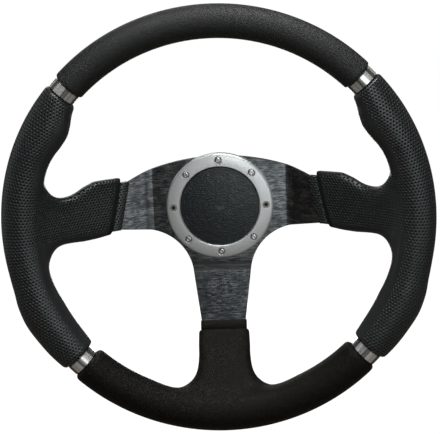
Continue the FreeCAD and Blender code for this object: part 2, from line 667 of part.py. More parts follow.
def oval(body, name, role, half_height, half_thick):
    """A flat oval across a spoke: two straight sides and two round ends.

    Both sizes are pairs of an expression and its present value.
    """
    sketch = new_sketch(body, name, role)
    thick = half_thick[1]
    straight = half_height[1] - thick
    for first, start, end in [(0, V(-thick, straight, 0), V(-thick, -straight, 0)),
                              (math.pi, V(thick, -straight, 0), V(thick, straight, 0))]:
        middle = V(0, straight if first == 0 else -straight, 0)
        circle = Part.Circle(middle, V(0, 0, 1), thick)
        sketch.addGeometry(Part.ArcOfCircle(circle, first, first + math.pi), False)
        sketch.addGeometry(Part.LineSegment(start, end), False)
    for side in range(4):
        sketch.addConstraint(Sketcher.Constraint("Tangent", side, 2, (side + 1) % 4, 1))
    sketch.addConstraint(Sketcher.Constraint("Equal", 0, 2))
    sketch.addConstraint(Sketcher.Constraint("PointOnObject", 0, 3, -2))
    sketch.addConstraint(Sketcher.Constraint("Symmetric", 0, 3, 2, 3, -1, 1))
    for kind, where, text, value in [
            ("Radius", (0,), half_thick[0], thick),
            ("DistanceY", (-1, 1, 0, 3), "%s - %s" % (half_height[0], half_thick[0]), straight)]:
        index = sketch.addConstraint(Sketcher.Constraint(kind, *where, value))
        sketch.setExpression("Constraints[%d]" % index, text)
    return sketch


def mix(base, terms):
    """Half of a size plus shares of others, as an expression and its value."""
    text = "(%s" % cell(base)
    value = number(base)
    for share, plus, minus in terms:
        text += " + %g * (%s - %s)" % (share, cell(plus), cell(minus))
        value += share * (number(plus) - number(minus))
    return text + ") / 2", value / 2


def boot_loft(body, name, role, start, end, neck, lip, flare, lift, stations, sign):
    """Loft ovals along a spoke, from the boot's lip to the middle of the rim.

    A station is (share of the way, share of the lip's extra height, share of the flare, share of
    the way from lip thickness to root thickness, share of the lift).
    """
    ovals = []
    for index, (share, to_lip, to_flare, to_root, to_lift) in enumerate(stations):
        high = mix(neck, [(to_lip, lip, neck), (to_flare, flare, "zero")])
        thick = mix("boot_lip_t", [(to_root, "boot_root_t", "boot_lip_t")])
        sketch = oval(body, "%s_oval_%d" % (name, index), role, high, thick)
        along = "%s(%s + %g * (%s - %s))" % (sign, cell(start), share, cell(end), cell(start))
        sketch.setExpression("AttachmentOffset.Base.z", along)
        if role == "YZ_Plane":
            sketch.setExpression("AttachmentOffset.Base.y", "%g * %s" % (to_lift, cell(lift)))
        else:
            sketch.AttachmentOffset = FreeCAD.Placement(V(), FreeCAD.Rotation(V(0, 0, 1), 90))
        ovals.append(sketch)
    return feature(body, "AdditiveLoft", name, Profile=ovals[0],
                   Sections=[(sketch, [""]) for sketch in ovals[1:]])


def spoke_frame(body, across, up, axis, slope):
    """Stand a body on a bend of the plate, turned to the slope of its spoke."""
    body.setExpression("Placement.Base.x", cell(across))
    body.setExpression("Placement.Base.y", "Places.plate_mid")
    body.setExpression("Placement.Base.z", cell(up))
    turn_about(body, axis, "-" + cell(slope))


SIDE_BOOT = [
    (0 / 9, 0.97, 0.00, 0.00, 1.05),
    (1 / 9, 1.00, 0.00, 0.03, 1.02),
    (2 / 9, 1.00, 0.00, 0.07, 0.96),
    (3 / 9, 0.78, 0.00, 0.15, 0.70),
    (4 / 9, 0.28, 0.00, 0.25, 0.30),
    (5 / 9, 0.00, 0.00, 0.42, 0.04),
    (6 / 9, 0.00, 0.05, 0.62, 0.06),
    (7 / 9, 0.00, 0.46, 0.82, 0.15),
    (8 / 9, 0.00, 0.91, 0.96, 0.20),
    (9 / 9, 0.00, 1.00, 1.00, 0.20),
]
LOW_BOOT = [
    (0 / 7, 0.0, 0.00, 0.00, 0.0),
    (1 / 7, 0.0, 0.01, 0.06, 0.0),
    (2 / 7, 0.0, 0.03, 0.17, 0.0),
    (3 / 7, 0.0, 0.09, 0.36, 0.0),
    (4 / 7, 0.0, 0.29, 0.60, 0.0),
    (5 / 7, 0.0, 0.86, 0.83, 0.0),
    (6 / 7, 0.0, 1.00, 0.97, 0.0),
    (7 / 7, 0.0, 1.00, 1.00, 0.0),
]

side_boot = new_body("side_boot")
spoke_frame(side_boot, "flat_half", "zero", (0, 0, 1), "side_slope")
boot_loft(side_boot, "side_boot_loft", "YZ_Plane", "boot_start", "side_len", "boot_neck_h",
          "boot_lip_h", "boot_flare", "boot_lip_up", SIDE_BOOT, "")
slant = outline(side_boot, "slant", "XZ_Plane", [
    ("zero", "-trim_reach"),
    ("trim_low", "-trim_reach"),
    ("trim_high", "trim_reach"),
    ("zero", "trim_reach"),
])
feature(side_boot, "Pocket", "slanted_lip", Profile=slant, Type="ThroughAll", Midplane=True)


def on_slant(edge):
    """True for the edges of the slanted lip, in the boot's own frame."""
    def off(point):
        lean = math.radians(number("boot_slant"))
        return (point.x - number("boot_at")) * math.cos(lean) \
            + (point.z - number("boot_lip_up")) * math.sin(lean)
    first, last = edge.ParameterRange
    return all(near(off(edge.valueAt(first + part * (last - first))), 0) for part in (0, 0.3, 1))


dress(side_boot, "Fillet", "side_lip", "lip_edge", on_slant)
side_cuff = outline(side_boot, "side_cuff_outline", "XZ_Plane", [
    ("cuff_low_in", "-cuff_down"),
    ("cuff_low_out", "-cuff_down"),
    ("cuff_high_out", "cuff_up"),
    ("cuff_high_in", "cuff_up"),
])
feature(side_boot, "Pad", "side_cuff", Profile=side_cuff, Length="cuff_thick", Midplane=True)

low_boot = new_body("low_boot")
spoke_frame(low_boot, "zero", "-flat_low", (1, 0, 0), "leg_slope")
boot_loft(low_boot, "low_boot_loft", "XY_Plane", "leg_boot_at", "leg_len", "leg_boot_lip_w",
          "leg_boot_lip_w", "leg_boot_flare", "zero", LOW_BOOT, "-")


def on_low_lip(edge):
    lip = -number("leg_boot_at")
    return near(edge.BoundBox.ZMax, lip) and near(edge.BoundBox.ZMin, lip)


dress(low_boot, "Fillet", "low_lip", "lip_edge", on_low_lip)
low_cuff = outline(low_boot, "low_cuff_outline", "XZ_Plane", [
    ("-leg_cuff_half", "-leg_cuff_out"),
    ("leg_cuff_half", "-leg_cuff_out"),
    ("leg_cuff_half", "-leg_cuff_in"),
    ("-leg_cuff_half", "-leg_cuff_in"),
])
feature(low_boot, "Pad", "low_cuff", Profile=low_cuff, Length="cuff_thick", Midplane=True)

side_skin = rim_skin("side_skin", "side_low", "side_high", "side_grip_w", "side_grip_depth",
                     "side_grip_in", SIDE_STATIONS)
low_skin = rim_skin("low_skin", "low_start", "low_end", "low_grip_w", "low_grip_depth",
                    "low_grip_in", LOW_STATIONS)
grip_bore = tube_ring("grip_bore", "bore_r")
side_form = fuse("side_form", [rounded_ends("side_rounded", side_skin, "side_edge"), side_boot])
right = cut("right_grip", cut("side_bored", side_form, grip_bore), plate)
left = doc.addObject("Part::Mirroring", "left_grip")
left.Source = right
left.Normal = V(1, 0, 0)
low_form = fuse("low_form", [rounded_ends("low_rounded", low_skin, "low_edge"), low_boot])
bottom = cut("bottom_grip", cut("low_bored", low_form, grip_bore), plate)
parts["left_grip"] = left
parts["right_grip"] = right
parts["bottom_grip"] = bottom


# Bands: short polished sleeves on the tube between the grips

for name, angle in [("upper_right_band", "Sizes.band_up"), ("upper_left_band", "180 - Sizes.band_up"),
                    ("lower_left_band", "180 + Sizes.band_low"), ("lower_right_band", "-Sizes.band_low")]:
    band = new_body(name)
    profile = circles(band, name + "_profile", "XY_Plane", "rim_r", "zero", ["band_r", "bore_r"])
    revolve(band, name + "_turned", profile, "V_Axis", "band_turn", midplane=True)
    dress(band, "Chamfer", name + "_edges", "band_edge", tube_end("band_r"))
    turn_about(band, (0, 1, 0), "-(%s)" % angle)
    band.setExpression("Placement.Base.y", "Places.rim_y")
    parts[name] = band


# Trim ring: turned, with a ledge for the cap, and bored for its screws

ring = new_body("trim_ring")
face_driver(ring, "plate_front")
ring_profile = outline(ring, "ring_profile", "XZ_Plane", [
    ("ledge_r", "zero"),
    ("ring_r", "zero"),
    ("ring_r", "ring_edge_high"),
    ("ring_bore_r", "ring_high"),
    ("ring_bore_r", "ledge_high"),
    ("ledge_r", "ledge_high"),
], {2: "ring_crown_r"})
revolve(ring, "ring_turned", ring_profile, "V_Axis")
dress(ring, "Fillet", "ring_outer_edge", "ring_round", ring_edge("ring_r", "ring_edge_high"))
dress(ring, "Chamfer", "ring_inner_edge", "ring_bevel", ring_edge("ring_bore_r", "ring_high"))
ring_hole = circles(ring, "ring_hole", "XY_Plane", "zero", "screw_circle_r", ["screw_hole_r"])
ring_drill = feature(ring, "Pocket", "ring_drill", Profile=ring_hole, Type="ThroughAll", Reversed=True)
polar(ring, "ring_holes", ring_drill, "Z_Axis", "screw_count")


def clockwise(item, index, count, circle, level):
    """Place an item on a circle about the wheel's axis, counted clockwise from the top."""
    item.Placement = FreeCAD.Placement(V(), FreeCAD.Rotation(V(1, 0, 0), 90))
    turn = "360 * %d / %s" % (index, cell(count))
    item.setExpression("Placement.Base.x", "%s * sin(%s)" % (cell(circle), turn))
    item.setExpression("Placement.Base.z", "%s * cos(%s)" % (cell(circle), turn))
    item.setExpression("Placement.Base.y", cell(level))


SCREWS = int(number("screw_count"))
FLUSH = {SCREWS // 4: "flush_screw_right", 3 * SCREWS // 4: "flush_screw_left"}
sinks = []
for index in range(SCREWS):
    if index in FLUSH:
        sink = doc.addObject("Part::Cone", "flush_sink_%d" % index)
        sink.setExpression("Radius1", cell("screw_hole_r"))
        sink.setExpression("Radius2", cell("flush_sink_r"))
        sink.setExpression("Height", cell("flush_sink_deep"))
        clockwise(sink, index, "screw_count", "screw_circle_r", "flush_sink_at")
        sinks.append(sink)
        well = ("flush_well_%d", "flush_sink_r", "flush_low", "flush_seat")
    else:
        well = ("dome_sink_%d", "screw_sink_r", "screw_sink", "screw_seat")
    name, radius, deep, seat = well
    sink = doc.addObject("Part::Cylinder", name % index)
    sink.setExpression("Radius", cell(radius))
    sink.setExpression("Height", cell(deep))
    clockwise(sink, index, "screw_count", "screw_circle_r", seat)
    sinks.append(sink)
parts["trim_ring"] = cut("trim_ring_bored", ring, fuse("sinks", sinks))


# Centre cap: a shallow dome with a skirt that presses into the ring

cap = new_body("centre_cap")
face_driver(cap, "plate_front")
cap_profile = outline(cap, "cap_profile", "XZ_Plane", [
    ("cap_r", "cap_edge"),
    ("zero", "cap_top"),
    ("zero", "cap_ceiling"),
    ("skirt_in_r", "cap_ceiling"),
    ("skirt_in_r", "skirt_low"),
    ("skirt_r", "skirt_low"),
    ("skirt_r", "ledge_high"),
    ("cap_r", "ledge_high"),
], {0: "cap_dome_r"})
revolve(cap, "cap_turned", cap_profile, "V_Axis")
dress(cap, "Fillet", "cap_edge_rounding", "cap_round", ring_edge("cap_r", "cap_edge"))
parts["centre_cap"] = cap


# Hub boss: turned flange, spigot and boss, bored to the shaft's taper with a keyway

boss = new_body("hub_boss")
face_driver(boss, "zero")
boss_profile = outline(boss, "boss_profile", "XZ_Plane", [
    ("shaft_r", "zero"),
    ("boss_r", "zero"),
    ("boss_r", "flange_low"),
    ("flange_r", "flange_low"),
    ("flange_r", "boss_len"),
    ("spigot_r", "boss_len"),
    ("spigot_r", "boss_front"),
    ("nut_r", "boss_front"),
    ("nut_r", "nut_floor"),
    ("shaft_small_r", "nut_floor"),
])
revolve(boss, "boss_turned", boss_profile, "V_Axis")
dress(boss, "Fillet", "boss_root", "boss_fillet", ring_edge("boss_r", "flange_low"))
dress(boss, "Chamfer", "boss_rear_edge", "boss_bevel", ring_edge("boss_r", "zero"))
dress(boss, "Chamfer", "flange_edge", "boss_bevel", ring_edge("flange_r", "flange_low"))
keyway = outline(boss, "keyway_outline", "XY_Plane", [
    ("-key_half", "zero"),
    ("key_half", "zero"),
    ("key_half", "key_top"),
    ("-key_half", "key_top"),
])
feature(boss, "Pocket", "keyway", Profile=keyway, Length="nut_floor", Reversed=True)
for name, circle, radius, count in [("screw_taps", "screw_circle_r", "screw_thread_r", "screw_count"),
                                    ("bolt_taps", "bolt_circle_r", "bolt_hole_r", "bolt_count")]:
    tap = circles(boss, name + "_sketch", "XY_Plane", "zero", circle, [radius])
    tap.setExpression("AttachmentOffset.Base.z", cell("boss_len"))
    drill = feature(boss, "Pocket", name, Profile=tap, Length="flange_thick")
    polar(boss, name + "_pattern", drill, "Z_Axis", count)
parts["hub_boss"] = boss


# Screws and bolts with hexagonal sockets

def socket_screw(name, profile_points, head_top, flats, deep):
    """Turn a screw about its local Z axis and sink its socket from the top of the head."""
    screw = new_body(name)
    profile = outline(screw, name + "_profile", "XZ_Plane", profile_points)
    revolve(screw, name + "_turned", profile, "V_Axis")
    if head_top != "zero":
        dress(screw, "Fillet", name + "_dome", "screw_dome", ring_edge("screw_head_r", head_top))
    socket = hexagon(screw, name + "_socket_sketch", "XY_Plane", flats)
    socket.setExpression("AttachmentOffset.Base.z", cell(head_top))
    feature(screw, "Pocket", name + "_socket", Profile=socket, Length=deep)
    return screw


domed = 0
for index in range(SCREWS):
    if index in FLUSH:
        name = FLUSH[index]
        screw = socket_screw(name, [("zero", "-flush_len"), ("screw_shank_r", "-flush_len"),
                                    ("screw_shank_r", "-flush_deep"), ("flush_r", "zero"), ("zero", "zero")],
                             "zero", "flush_socket", "socket_deep")
        clockwise(screw, index, "screw_count", "screw_circle_r", "flush_seat")
    else:
        domed += 1
        name = "ring_screw_%d" % domed
        screw = socket_screw(name, [("zero", "-screw_len"), ("screw_shank_r", "-screw_len"),
                                    ("screw_shank_r", "zero"), ("screw_head_r", "zero"),
                                    ("screw_head_r", "screw_head_h"), ("zero", "screw_head_h")],
                             "screw_head_h", "screw_socket", "socket_deep")
        clockwise(screw, index, "screw_count", "screw_circle_r", "screw_seat")
    parts[name] = screw

for index in range(int(number("bolt_count"))):
    name = "hub_bolt_%d" % (index + 1)
    bolt = socket_screw(name, [("zero", "-bolt_len"), ("bolt_r", "-bolt_len"), ("bolt_r", "-bolt_head_deep"),
                               ("bolt_head_r", "zero"), ("zero", "zero")],
                        "zero", "bolt_socket", "bolt_socket_deep")
    clockwise(bolt, index, "bolt_count", "bolt_circle_r", "plate_front")
    parts[name] = bolt


# Check every object, then write each sub-part

doc.recompute()
failed = [item.Name for item in doc.Objects if {"Invalid", "Error"} & set(item.State)]
if failed:
    raise RuntimeError("these objects failed: " + ", ".join(failed))
for name, item in parts.items():
    if item.Shape.isNull() or not item.Shape.isValid() or item.Shape.Volume <= 0:
        raise RuntimeError("bad shape: " + name)
    item.Label = name

os.makedirs("parts", exist_ok=True)
for name, item in parts.items():
    item.Shape.exportStep("parts/%s.step" % name)
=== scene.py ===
import math

import bpy
import numpy as np
from mathutils import Matrix, Vector


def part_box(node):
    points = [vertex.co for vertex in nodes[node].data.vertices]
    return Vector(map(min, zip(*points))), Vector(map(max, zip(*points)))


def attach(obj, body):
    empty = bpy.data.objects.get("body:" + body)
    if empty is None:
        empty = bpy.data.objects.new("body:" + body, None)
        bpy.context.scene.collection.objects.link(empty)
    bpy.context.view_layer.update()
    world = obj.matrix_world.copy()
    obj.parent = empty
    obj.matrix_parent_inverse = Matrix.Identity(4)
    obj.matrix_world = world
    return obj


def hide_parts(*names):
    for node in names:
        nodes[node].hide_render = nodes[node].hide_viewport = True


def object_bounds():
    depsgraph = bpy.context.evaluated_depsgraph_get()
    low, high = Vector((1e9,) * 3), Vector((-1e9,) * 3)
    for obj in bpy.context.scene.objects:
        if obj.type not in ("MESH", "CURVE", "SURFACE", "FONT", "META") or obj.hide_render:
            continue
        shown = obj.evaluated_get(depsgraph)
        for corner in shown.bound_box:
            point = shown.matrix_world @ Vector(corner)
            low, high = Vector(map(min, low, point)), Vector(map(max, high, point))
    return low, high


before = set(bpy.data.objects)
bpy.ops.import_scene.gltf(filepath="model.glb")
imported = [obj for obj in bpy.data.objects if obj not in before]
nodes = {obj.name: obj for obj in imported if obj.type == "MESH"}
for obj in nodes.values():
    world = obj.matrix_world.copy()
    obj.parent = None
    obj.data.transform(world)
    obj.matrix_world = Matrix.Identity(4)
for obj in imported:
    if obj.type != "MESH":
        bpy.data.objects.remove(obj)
cad_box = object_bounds()
MM = 0.001


# Places read from the solids

top_low, top_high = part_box("top_grip")
ring_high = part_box("trim_ring")[1]
plate_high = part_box("spoke_plate")[1]
flush_low, flush_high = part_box("flush_screw_right")

TOP_GRIP_R = (top_high.y - top_low.y) / 2
RIM_Y = (top_high.y + top_low.y) / 2
RIM_R = top_high.z - TOP_GRIP_R
PLATE_MID = (ring_high.y + plate_high.y) / 2
FLUSH_AT = (flush_low.x + flush_high.x) / 2

# Bends of the spoke plate, from the axis, and the slope of its spokes out to the rim
RISE = PLATE_MID - RIM_Y
SIDE_BEND = 59 * MM
LOW_BEND = 53 * MM
SIDE_SLOPE = math.atan2(RISE, RIM_R - SIDE_BEND)
LOW_SLOPE = math.atan2(RISE, RIM_R - LOW_BEND)

# Lips of the boots, along their spokes from the bends; the side ones slant about their middle height
SIDE_LIP = 33 * MM
LIP_SLANT = math.tan(math.radians(14))
LIP_MIDDLE = 5.2 * MM
LOW_LIP = 57 * MM


# Shader building

class Value:
    """A socket's number; sums on it add Math nodes."""

    def __init__(self, finish, socket):
        self.finish = finish
        self.socket = socket

    def math(self, operation, *terms):
        node = self.finish.node("ShaderNodeMath", {"operation": operation}, dict(enumerate(terms)))
        return Value(self.finish, node.outputs[0])

    def __add__(self, other):
        return self.math("ADD", self, other)

    def __radd__(self, other):
        return self.math("ADD", other, self)

    def __sub__(self, other):
        return self.math("SUBTRACT", self, other)

    def __rsub__(self, other):
        return self.math("SUBTRACT", other, self)

    def __mul__(self, other):
        return self.math("MULTIPLY", self, other)

    def __rmul__(self, other):
        return self.math("MULTIPLY", other, self)

    def __truediv__(self, other):
        return self.math("DIVIDE", self, other)

    def __rtruediv__(self, other):
        return self.math("DIVIDE", other, self)

    def __abs__(self):
        return self.math("ABSOLUTE", self)

    def root(self):
        return self.math("SQRT", self)

    def sin(self):
        return self.math("SINE", self)

    def arcsin(self):
        return self.math("ARCSINE", self)

    def angle(self, other):
        """The angle whose tangent is this over other."""
        return self.math("ARCTAN2", self, other)

    def floor(self):
        return self.math("FLOOR", self)

    def fraction(self):
        return self.math("FRACT", self)

    def least(self, other):
        return self.math("MINIMUM", self, other)

    def most(self, other):
        return self.math("MAXIMUM", self, other)

    def rise(self, low, high):
        """0 below low, 1 above high, smooth between; it falls where low is above high."""
        node = self.finish.node("ShaderNodeMapRange", {"interpolation_type": "SMOOTHSTEP"},
                                {"Value": self, "From Min": low, "From Max": high})
        return Value(self.finish, node.outputs["Result"])


def spaced(sockets):
    """Sockets given as keywords, with the spaces of their names: Base_Color is Base Color."""
    return {key.replace("_", " "): value for key, value in sockets.items()}


class Finish:
    """A material with one Principled shader, and the nodes that feed it."""

    def __init__(self, name, **constants):
        self.material = bpy.data.materials.new(name)
        self.material.use_nodes = True
        self.tree = self.material.node_tree
        self.shader = self.tree.nodes["Principled BSDF"]
        self.feed(**constants)

    def plug(self, term, slot):
        """Link a value or a socket to a slot, or set the slot to a number or a tuple."""
        if isinstance(term, Value):
            term = term.socket
        if isinstance(term, bpy.types.NodeSocket):
            self.tree.links.new(term, slot)
        else:
            slot.default_value = term

    def node(self, kind, settings=None, sockets=None):
        """Add a node: its settings first, then the values or links of its sockets."""
        node = self.tree.nodes.new(kind)
        for key, value in (settings or {}).items():
            setattr(node, key, value)
        for key, value in (sockets or {}).items():
            self.plug(value, node.inputs[key])
        return node

    def feed(self, **sockets):
        """Set or link the shader's own sockets."""
        for key, value in spaced(sockets).items():
            self.plug(value, self.shader.inputs[key])
        return self.material

    def place(self):
        """The three coordinates of a point in the wheel's frame, in metres."""
        where = self.node("ShaderNodeTexCoord").outputs["Object"]
        parts = self.node("ShaderNodeSeparateXYZ", sockets={"Vector": where}).outputs
        return [Value(self, parts[letter]) for letter in "XYZ"]

    def vector(self, x, y, z):
        return self.node("ShaderNodeCombineXYZ", sockets={"X": x, "Y": y, "Z": z}).outputs[0]

    def noise(self, vector, scale=1.0, detail=2.0, rough=0.5):
        node = self.node("ShaderNodeTexNoise", sockets={"Vector": vector, "Scale": scale,
                                                        "Detail": detail, "Roughness": rough})
        return Value(self, node.outputs["Fac"])

    def cell_edges(self, vector, scale):
        """Distance from the nearest border of a pattern of cells."""
        node = self.node("ShaderNodeTexVoronoi", {"feature": "DISTANCE_TO_EDGE"},
                         {"Vector": vector, "Scale": scale})
        return Value(self, node.outputs["Distance"])

    def mix(self, share, first, second):
        """A colour between two colours."""
        return self.node("ShaderNodeMix", {"data_type": "RGBA"}, {0: share, 6: first, 7: second}).outputs[2]

    def bump(self, height, depth):
        """Relief of that depth in metres for a height from 0 to 1."""
        return self.node("ShaderNodeBump", sockets={"Height": height, "Distance": depth,
                                                    "Strength": 1.0}).outputs[0]

    def over(self, share, **constants):
        """Mix in a second Principled shader by that share, as for painted shade at the bottom of a pit."""
        other = self.node("ShaderNodeBsdfPrincipled", sockets=spaced(constants))
        blend = self.node("ShaderNodeMixShader", sockets={0: share, 1: self.shader.outputs[0],
                                                          2: other.outputs[0]})
        self.plug(blend.outputs[0], self.tree.nodes["Material Output"].inputs["Surface"])
        return self.material


class Air(Finish):
    """The light all round, fed as a material is."""

    def __init__(self, name):
        self.material = bpy.data.worlds.new(name)
        bpy.context.scene.world = self.material
        self.material.use_nodes = True
        self.tree = self.material.node_tree
        self.shader = self.tree.nodes["Background"]


def grey(level, warm=0.0):
    return (level * (1 + warm), level, level * (1 - warm), 1)


# Materials

SECTION_R = 15.9 * MM       # of the rim's section under the dimples
DIMPLES_ROUND = 33          # round that section
ROW_PITCH = 2.5 * MM
# Near-black, dull constants of a shader mixed in as painted shade: in dimple bottoms, on the boots' lips and
# in screw sockets
PAINTED_SHADE = {"Roughness": 0.9, "Specular_IOR_Level": 0.05}


def dimpled_moulding():
    """Black moulding with staggered rows of dimples, smooth on the thumb side and at the lip; the bottoms of
    the dimples and the lip strip are painted dark as shade.
    """
    finish = Finish("grip_dimpled", Specular_IOR_Level=0.62, Specular_Tint=(0.93, 0.99, 1, 1))
    x, y, z = finish.place()
    x = abs(x)
    across = (x * x + z * z).root()
    outward = across - RIM_R
    forward = RIM_Y - y
    reach = (outward * outward + forward * forward).root()

    # angle round the rim's section, from the line on which the spoke leaves it
    cos, sin = math.cos(SIDE_SLOPE), math.sin(SIDE_SLOPE)
    along_spoke = 0 - outward * cos - forward * sin
    off_spoke = forward * cos - outward * sin
    turn = off_spoke.angle(along_spoke)

    # a staggered grid: girth runs on over the boot, and length along the rim
    front = off_spoke.rise(-0.2 * MM, 0.2 * MM) * 2 - 1
    girth = turn * SECTION_R - front * (reach - SECTION_R).most(0)
    length = (z / across.most(RIM_R - 18 * MM)).arcsin() * RIM_R
    pitch = 2 * math.pi * SECTION_R / DIMPLES_ROUND
    row = (length / ROW_PITCH).floor()
    shift = (row / 2).fraction()
    cell_u = ((girth / pitch + shift).fraction() - 0.5) * pitch
    cell_v = ((length / ROW_PITCH).fraction() - 0.5) * ROW_PITCH
    spread = (cell_u * cell_u + cell_v * cell_v).root()
    dimple = spread.rise(1.1 * MM, 0.35 * MM)

    # zones without dimples: the rim's inside away from the boot, the boot's lower edge, lip and seam
    inward = (0 - outward) / reach.most(MM)
    above = z.rise(26 * MM, 44 * MM)
    below = z.rise(-17 * MM, -27 * MM)
    rim_inside = inward.rise(0.5, 0.78) * (above + below)
    low_edge = z.rise(-11 * MM, -15 * MM) * reach.rise(14 * MM, 19 * MM)
    from_bend = (x - SIDE_BEND) * cos + (PLATE_MID - y) * sin
    from_lip = from_bend + (z - LIP_MIDDLE) * LIP_SLANT - SIDE_LIP
    lip = from_lip.rise(-0.4 * MM, 0.0) * from_lip.rise(6.4 * MM, 5.4 * MM)
    seam = abs(off_spoke).rise(0.9 * MM, 0.3 * MM) * along_spoke.rise(10 * MM, 14 * MM)
    smooth = rim_inside.most(low_edge).most(lip).most(seam).least(1)

    spot = finish.vector(x, y, z)
    grain = finish.noise(spot, 2600, 3, 0.6)
    cloud = finish.noise(spot, 38)
    height = 1 - dimple * (1 - smooth) + grain * 0.05
    finish.feed(Base_Color=finish.mix(cloud, grey(0.01, -0.03), grey(0.018, -0.06)),
                Roughness=0.23 + 0.12 * grain + 0.08 * cloud + 0.16 * lip,
                Normal=finish.bump(height, 0.75 * MM))
    # painted shade: the dimple bottoms, and the lip strip more faintly, are darkened by mixing in a
    # near-black dull shader
    bottom = spread.rise(0.95 * MM, 0.45 * MM) * (1 - smooth)
    return finish.over((bottom * 0.9).most(lip * 0.62), Base_Color=grey(0.003), **PAINTED_SHADE)


def leather_grain(finish, cell, stretch):
    """Height, cloud and pebbles of a leather grain, its pebbles about one cell high."""
    x, y, z = finish.place()
    x = x / stretch
    spot = finish.vector(x, y, z)
    warp = (finish.noise(spot, 0.5 / cell) - 0.5) * cell * 1.6
    moved = finish.vector(x + warp, y + warp, z - warp)
    pebble = finish.cell_edges(moved, 1 / cell).rise(0.0, 0.24)
    wrinkle = abs(finish.noise(moved, 0.5 / cell, 3, 0.6) - 0.5).rise(0.0, 0.08)
    fine = finish.noise(spot, 3.2 / cell, 3, 0.6)
    return pebble * 0.45 + wrinkle * 0.45 + fine * 0.1, finish.noise(spot, 30), pebble * wrinkle


def grained_moulding(name, cell, depth, light, dark, rough, warm, specular=0.4, stretch=1.0,
                     tint=(1, 1, 1, 1)):
    """Black moulding with a leather grain; a negative warm makes it bluish."""
    finish = Finish(name, Specular_IOR_Level=specular, Specular_Tint=tint)
    height, cloud, pebble = leather_grain(finish, cell, stretch)
    return finish.feed(Base_Color=finish.mix(pebble * 0.7 + cloud * 0.3, grey(dark, warm), grey(light, warm)),
                       Roughness=rough + 0.14 * (1 - pebble) + 0.06 * cloud,
                       Normal=finish.bump(height, depth))


def brushed_anodising():
    """Black anodised sheet, brushed from side to side, duller on its bends, and painted darker as shade in a
    band along the lower bend just under the ring.
    """
    finish = Finish("plate_brushed", Metallic=1.0)
    x, y, z = finish.place()
    long = finish.noise(finish.vector(x * 95, y * 95, z * 1150), detail=3, rough=0.65)
    short = finish.noise(finish.vector(x * 230, y * 230, z * 1000), rough=0.6)
    patch = finish.noise(finish.vector(x, y, z), 110, 3)
    stroke = (long * 0.5 + short * 0.5).rise(0.4, 0.62)
    worn = stroke * (0.3 + 0.7 * patch.rise(0.3, 0.65))
    side_bends = abs(abs(x) - SIDE_BEND).rise(4.5 * MM, 1.5 * MM)
    # painted shade: the band along the lower bend, just under the ring, is darkened in colour as well as
    # dulled
    low_bend_and_shade = abs(z + LOW_BEND - 0.5 * MM).rise(6 * MM, 2 * MM)
    colour = finish.mix(worn, grey(0.06, -0.06), grey(0.27, -0.05))
    return finish.feed(Base_Color=finish.mix(low_bend_and_shade * 0.85, colour, grey(0.022)),
                       Roughness=0.12 + 0.04 * short + 0.16 * side_bends + 0.26 * low_bend_and_shade,
                       Normal=finish.bump(long * 0.7 + short * 0.3, 0.07 * MM))


def satin_ring():
    """Satin silver with faint turning marks."""
    finish = Finish("ring_satin", Metallic=0.6, Coat_Weight=0.9, Coat_Roughness=0.2)
    x, y, z = finish.place()
    radius = (x * x + z * z).root()
    marks = finish.noise(finish.vector(radius * 2400, z.angle(x) * 2, y))
    cloud = finish.noise(finish.vector(x, y, z), 45)
    return finish.feed(Base_Color=finish.mix(cloud * 0.6 + marks * 0.4, grey(0.56, -0.01), grey(0.66, -0.02)),
                       Roughness=0.36 + 0.1 * marks,
                       Normal=finish.bump(marks, 0.0012 * MM))


def polished_band():
    """Polished metal, drawn along the rim, with light and dark bars of what it mirrors painted into its
    colour as reflections.
    """
    finish = Finish("band_polished", Metallic=0.8)
    x, y, z = finish.place()
    across = (x * x + z * z).root() - RIM_R
    turn = (RIM_Y - y).angle(across)
    lines = finish.noise(finish.vector(turn * 14, x * 12, z * 12), detail=3, rough=0.6)
    # painted reflection: light and dark bars round the section stand in the colour for what the band mirrors
    bars = (turn * 6 + 0.6).sin() * 0.6 + (turn * 13 + 2.1).sin() * 0.4
    return finish.feed(Base_Color=finish.mix(bars.rise(-0.5, 0.5), grey(0.16, 0.06), grey(0.9, 0.01)),
                       Roughness=0.2 + 0.14 * lines,
                       Normal=finish.bump(lines, 0.02 * MM))


def turned_metal(name, level, rough, marks=0.01 * MM):
    """Turned metal with fine marks and a little cloud in its colour."""
    finish = Finish(name, Metallic=1.0)
    x, y, z = finish.place()
    radius = (x * x + z * z).root()
    turning = finish.noise(finish.vector(radius * 2600, y * 2600, 0.0))
    cloud = finish.noise(finish.vector(x, y, z), 140)
    return finish.feed(Base_Color=finish.mix(cloud, grey(level * 0.8), grey(level)),
                       Roughness=rough + 0.1 * cloud,
                       Normal=finish.bump(turning, marks))


def dulled_steel():
    """Dulled steel for the sunk screws, with painted shade in their dark sockets."""
    finish = Finish("screw_dulled", Metallic=0.8)
    x, y, z = finish.place()
    off = abs(x) - FLUSH_AT
    # mask of the dark hex sockets, where a near-black shader is mixed in as painted shade
    socket = (off * off + z * z).root().rise(1.75 * MM, 1.35 * MM)
    cloud = finish.noise(finish.vector(x, y, z), 400)
    finish.feed(Base_Color=finish.mix(cloud, grey(0.2, 0.08), grey(0.32, 0.08)),
                Roughness=0.34 + 0.1 * cloud)
    # painted shade in the sockets
    return finish.over(socket * 0.92, Base_Color=grey(0.004), **PAINTED_SHADE)


DIMPLED = dimpled_moulding()
GRAINED = grained_moulding("grip_grained", cell=1.4 * MM, depth=0.24 * MM, light=0.012, dark=0.004,
                           rough=0.38, warm=-0.02)
